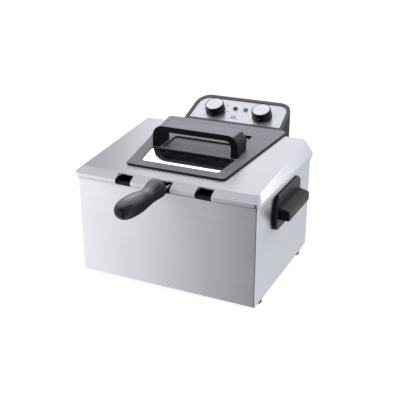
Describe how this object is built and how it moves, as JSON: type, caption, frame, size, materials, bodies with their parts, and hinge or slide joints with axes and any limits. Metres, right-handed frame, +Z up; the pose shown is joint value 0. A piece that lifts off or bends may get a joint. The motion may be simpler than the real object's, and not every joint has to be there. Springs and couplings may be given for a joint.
{
  "type": "deep fryer",
  "caption": "Stainless deep fryer with a lift-off lid and window, a wire basket with a long grip, an oil pot and a removable control head with heating element.",
  "frame": {"origin": "middle of the bounding box in X and Y, on the plane the feet stand on", "axes": "+X to the right seen from the front, +Y from the basket grip to the control head, +Z up"},
  "size_m": [0.418, 0.542, 0.277],
  "materials": {
    "brushed_steel": "brushed, horizontal grain",
    "pot_steel": "satin stainless",
    "galvanised_steel": "zinc-coated sheet",
    "fascia_steel": "fine brushed",
    "black_plastic": "satin heat-resistant plastic",
    "head_plastic": "satin dark grey plastic",
    "cap_metal": "spun metal disc",
    "foot_rubber": "moulded rubber",
    "seal_rubber": "silicone",
    "window_glass": "polished, lightly mirrored",
    "screw_steel": "zinc-plated",
    "basket_chrome": "chrome-plated wire",
    "element_alloy": "dark oxidised alloy tube",
    "copper": "copper tube",
    "brass": "bright brass pins",
    "control_metal": "zinc-plated case",
    "inner_plastic": "moulded",
    "filter_felt": "pressed felt",
    "red_lens": "unlit red lens",
    "green_lens": "green lens",
    "lamp_glass": "neon lamp",
    "reset_red": "red button"
  },
  "bodies": {
    "base_unit": {"outer_housing": "brushed_steel", "base_plate": "galvanised_steel", "feet": "foot_rubber", "foot_screws": "screw_steel", "side_handle_left": "black_plastic", "side_handle_right": "black_plastic", "side_handle_screws": "screw_steel"},
    "lid": {"lid_shell": "brushed_steel", "lid_skirt": "pot_steel", "lid_panel": "black_plastic", "window_gasket": "seal_rubber", "window_glass": "window_glass", "window_retainer": "pot_steel", "lid_handle": "black_plastic", "lid_handle_screws": "screw_steel", "vent_grille": "black_plastic", "filter_mat": "filter_felt", "filter_cover": "pot_steel"},
    "basket": {"basket_mesh": "basket_chrome", "basket_rim": "basket_chrome", "basket_ribs": "basket_chrome", "basket_handle_fork": "basket_chrome", "basket_grip": "black_plastic"},
    "control_head": {"head_housing": "head_plastic", "head_rear_cover": "head_plastic", "cover_screws": "screw_steel", "fascia_panel": "fascia_steel", "thermostat": "control_metal", "timer": "inner_plastic", "red_lens": "red_lens", "green_lens": "green_lens", "indicator_lamps": "lamp_glass", "head_bracket": "pot_steel", "heating_element": "element_alloy", "element_clamp": "pot_steel", "thermostat_bulb": "copper", "bulb_clip": "pot_steel", "terminal_block": "inner_plastic", "thermal_cutout": "inner_plastic", "power_inlet": "inner_plastic", "inlet_pins": "brass", "interlock_switch": "inner_plastic"},
    "oil_container": {"oil_pot": "pot_steel", "handle_rest_left": "black_plastic", "handle_rest_centre": "black_plastic", "handle_rest_right": "black_plastic"},
    "thermostat_dial": {"thermostat_knob": "black_plastic", "thermostat_knob_cap": "cap_metal", "thermostat_shaft": "control_metal"},
    "timer_dial": {"timer_knob": "black_plastic", "timer_knob_cap": "cap_metal", "timer_shaft": "control_metal"},
    "reset": {"reset_button": "reset_red"}
  },
  "joints": [
    {"name": "lid_lift", "type": "slide", "parent": "base_unit", "child": "lid", "axis": [0, 0, 1], "range_m": [0, 0.4]},
    {"name": "basket_lift", "type": "slide", "parent": "base_unit", "child": "basket", "axis": [0, 0, 1], "range_m": [0, 0.36]},
    {"name": "head_lift", "type": "slide", "parent": "base_unit", "child": "control_head", "axis": [0, 0, 1], "range_m": [0, 0.32]},
    {"name": "pot_lift", "type": "slide", "parent": "base_unit", "child": "oil_container", "axis": [0, 0, 1], "range_m": [0, 0.16]},
    {"name": "thermostat_turn", "type": "hinge", "parent": "control_head", "child": "thermostat_dial", "pos_m": [-0.0535, 0.22404, 0.25455], "axis": [0, 0.3902, -0.9207], "range_deg": [0, 270]},
    {"name": "timer_turn", "type": "hinge", "parent": "control_head", "child": "timer_dial", "pos_m": [0.0535, 0.22404, 0.25455], "axis": [0, 0.3902, -0.9207], "range_deg": [0, 300]},
    {"name": "reset_press", "type": "slide", "parent": "control_head", "child": "reset", "axis": [0, -1, 0], "range_m": [0, 0.0015], "stiffness_N_per_m": 800, "springref_m": -0.001}
  ],
  "couplings": [
    {"joint": "basket_lift", "follows": "lid_lift", "ratio": 0.9},
    {"joint": "head_lift", "follows": "lid_lift", "ratio": 0.8},
    {"joint": "pot_lift", "follows": "lid_lift", "ratio": 0.4}
  ]
}
